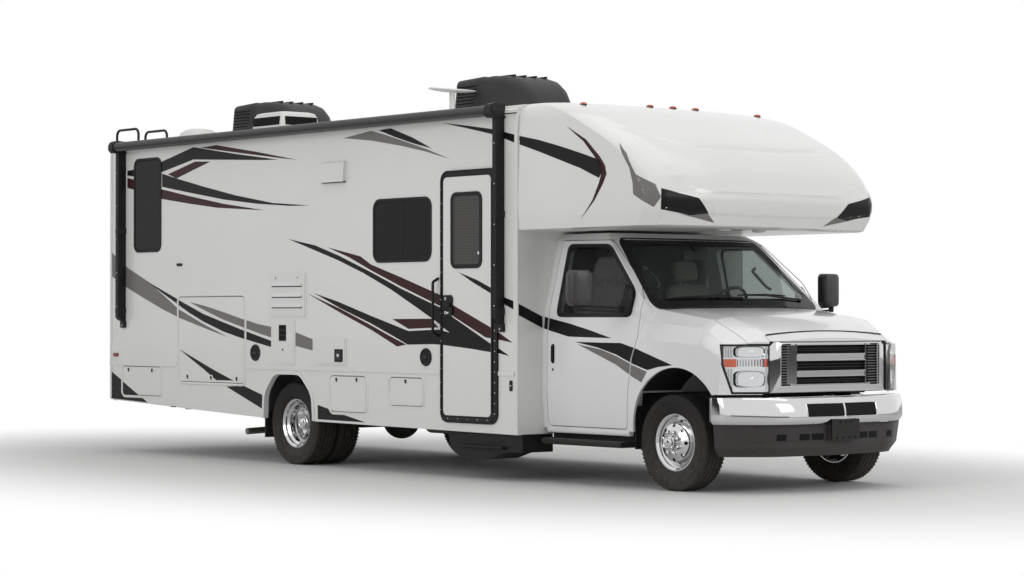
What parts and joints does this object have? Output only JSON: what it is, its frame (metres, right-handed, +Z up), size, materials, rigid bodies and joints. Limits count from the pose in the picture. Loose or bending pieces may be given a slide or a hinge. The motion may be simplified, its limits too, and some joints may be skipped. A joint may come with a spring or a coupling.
{
  "type": "motorhome",
  "caption": "Class C motorhome on a cutaway van chassis: hollow house with cab-over bunk, opening cab and entry doors, hood, storage lids, steering and rolling wheels.",
  "frame": {"origin": "on the ground under the middle of the vehicle", "axes": "+X forward, +Y to the driver's side (left), +Z up"},
  "size_m": [8.8606, 3.038, 3.4589],
  "materials": {
    "white_gelcoat": "smooth white gelcoat with printed stripes",
    "white_paint": "gloss white body paint",
    "black_frame": "satin black powder coat",
    "dark_glass": "dark tinted glazing",
    "cab_glass": "clear automotive glass",
    "lamp_glass": "clear lens over a bright reflector",
    "chrome": "bright plated steel",
    "wheel_metal": "polished steel wheel liner",
    "tyre_rubber": "black road tyre",
    "frame_steel": "black chassis paint",
    "axle_iron": "rough dark casting",
    "black_plastic": "grained black moulding",
    "charcoal_plastic": "moulded charcoal shroud",
    "white_plastic": "moulded white cover",
    "roof_membrane": "white roof membrane",
    "galvanised": "galvanised sheet",
    "bright_tube": "bright aluminium tube",
    "exhaust_steel": "heat-dulled steel pipe",
    "lens_plastic": "red and amber lens",
    "cab_trim": "grained grey trim",
    "seat_fabric": "woven grey upholstery"
  },
  "bodies": {
    "root": {"air_conditioners": "charcoal_plastic", "awning": "black_frame", "body_lamps": "lens_plastic", "cab_over_cap": "white_gelcoat", "cab_seats": "seat_fabric", "cab_shell": "white_paint", "chassis_frame": "frame_steel", "cross_beams": "frame_steel", "dashboard": "cab_trim", "drivetrain": "axle_iron", "entry_frame": "black_frame", "entry_step": "black_frame", "exhaust": "exhaust_steel", "front_axle": "axle_iron", "front_bumper": "chrome", "front_fenders": "white_paint", "front_valance": "black_plastic", "front_wall": "white_gelcoat", "grille": "chrome", "headlamps": "lamp_glass", "hitch_receiver": "frame_steel", "house_floor": "galvanised", "house_windows": "dark_glass", "ladder": "bright_tube", "left_wall": "white_gelcoat", "rear_axle": "axle_iron", "rear_bumper": "frame_steel", "rear_wall": "white_gelcoat", "right_wall": "white_gelcoat", "roof": "roof_membrane", "roof_vents": "white_plastic", "running_boards": "black_frame", "side_vents": "white_plastic", "storage_tubs": "galvanised", "tanks": "black_plastic", "wheel_liners": "black_plastic", "windshield": "cab_glass"},
    "knuckle_left": {"steering_knuckle_left": "axle_iron"},
    "knuckle_right": {"steering_knuckle_right": "axle_iron"},
    "front_wheel_left": {"front_wheel_left": "wheel_metal", "front_tyre_left": "tyre_rubber"},
    "front_wheel_right": {"front_wheel_right": "wheel_metal", "front_tyre_right": "tyre_rubber"},
    "rear_wheels_left": {"rear_wheels_left": "wheel_metal", "rear_tyres_left": "tyre_rubber"},
    "rear_wheels_right": {"rear_wheels_right": "wheel_metal", "rear_tyres_right": "tyre_rubber"},
    "cab_door_left": {"cab_door_left": "white_paint", "door_glass_left": "cab_glass", "mirror_left": "black_plastic"},
    "cab_door_right": {"cab_door_right": "white_paint", "door_glass_right": "cab_glass", "mirror_right": "black_plastic"},
    "entry_door": {"entry_door": "white_gelcoat", "entry_door_glass": "dark_glass"},
    "hood": {"hood": "white_paint"},
    "cargo_lid": {"cargo_lid": "white_gelcoat"},
    "rear_hatch": {"rear_hatch": "white_gelcoat"},
    "mid_hatch": {"mid_hatch": "white_gelcoat"},
    "front_hatch": {"front_hatch": "white_gelcoat"}
  },
  "joints": [
    {"name": "steer_left", "type": "hinge", "parent": "root", "child": "knuckle_left", "pos_m": [3.55, 0.781, 0.372], "axis": [0, 0, 1], "range_deg": [-32, 32]},
    {"name": "steer_right", "type": "hinge", "parent": "root", "child": "knuckle_right", "pos_m": [3.55, -0.781, 0.372], "axis": [0, 0, 1], "range_deg": [-32, 32]},
    {"name": "front_wheel_left_spin", "type": "hinge", "parent": "knuckle_left", "child": "front_wheel_left", "pos_m": [3.55, 0.881, 0.372], "axis": [0, 1, 0], "continuous": true},
    {"name": "front_wheel_right_spin", "type": "hinge", "parent": "knuckle_right", "child": "front_wheel_right", "pos_m": [3.55, -0.881, 0.372], "axis": [0, 1, 0], "continuous": true},
    {"name": "rear_wheels_left_spin", "type": "hinge", "parent": "root", "child": "rear_wheels_left", "pos_m": [-1.19, 0.985, 0.372], "axis": [0, 1, 0], "continuous": true},
    {"name": "rear_wheels_right_spin", "type": "hinge", "parent": "root", "child": "rear_wheels_right", "pos_m": [-1.19, -0.985, 0.372], "axis": [0, 1, 0], "continuous": true},
    {"name": "cab_door_left_hinge", "type": "hinge", "parent": "root", "child": "cab_door_left", "pos_m": [3.195, 1.012, 1], "axis": [0, 0, -1], "range_deg": [0, 65]},
    {"name": "cab_door_right_hinge", "type": "hinge", "parent": "root", "child": "cab_door_right", "pos_m": [3.195, -1.012, 1], "axis": [0, 0, 1], "range_deg": [0, 65]},
    {"name": "entry_door_hinge", "type": "hinge", "parent": "root", "child": "entry_door", "pos_m": [1.706, -1.286, 1.5], "axis": [0, 0, 1], "range_deg": [0, 110]},
    {"name": "hood_hinge", "type": "hinge", "parent": "root", "child": "hood", "pos_m": [3.262, 0, 1.412], "axis": [0, -1, 0], "range_deg": [0, 50]},
    {"name": "cargo_lid_hinge", "type": "hinge", "parent": "root", "child": "cargo_lid", "pos_m": [-2.484, -1.277, 1.522], "axis": [-1, 0, 0], "range_deg": [0, 90]},
    {"name": "rear_hatch_hinge", "type": "hinge", "parent": "root", "child": "rear_hatch", "pos_m": [-3.722, -1.277, 0.569], "axis": [1, 0, 0], "range_deg": [0, 175]},
    {"name": "mid_hatch_hinge", "type": "hinge", "parent": "root", "child": "mid_hatch", "pos_m": [-0.2895, -1.277, 0.504], "axis": [1, 0, 0], "range_deg": [0, 175]},
    {"name": "front_hatch_hinge", "type": "hinge", "parent": "root", "child": "front_hatch", "pos_m": [0.5495, -1.277, 0.582], "axis": [1, 0, 0], "range_deg": [0, 175]}
  ],
  "couplings": [
    {"joint": "steer_right", "follows": "steer_left", "ratio": 1}
  ]
}
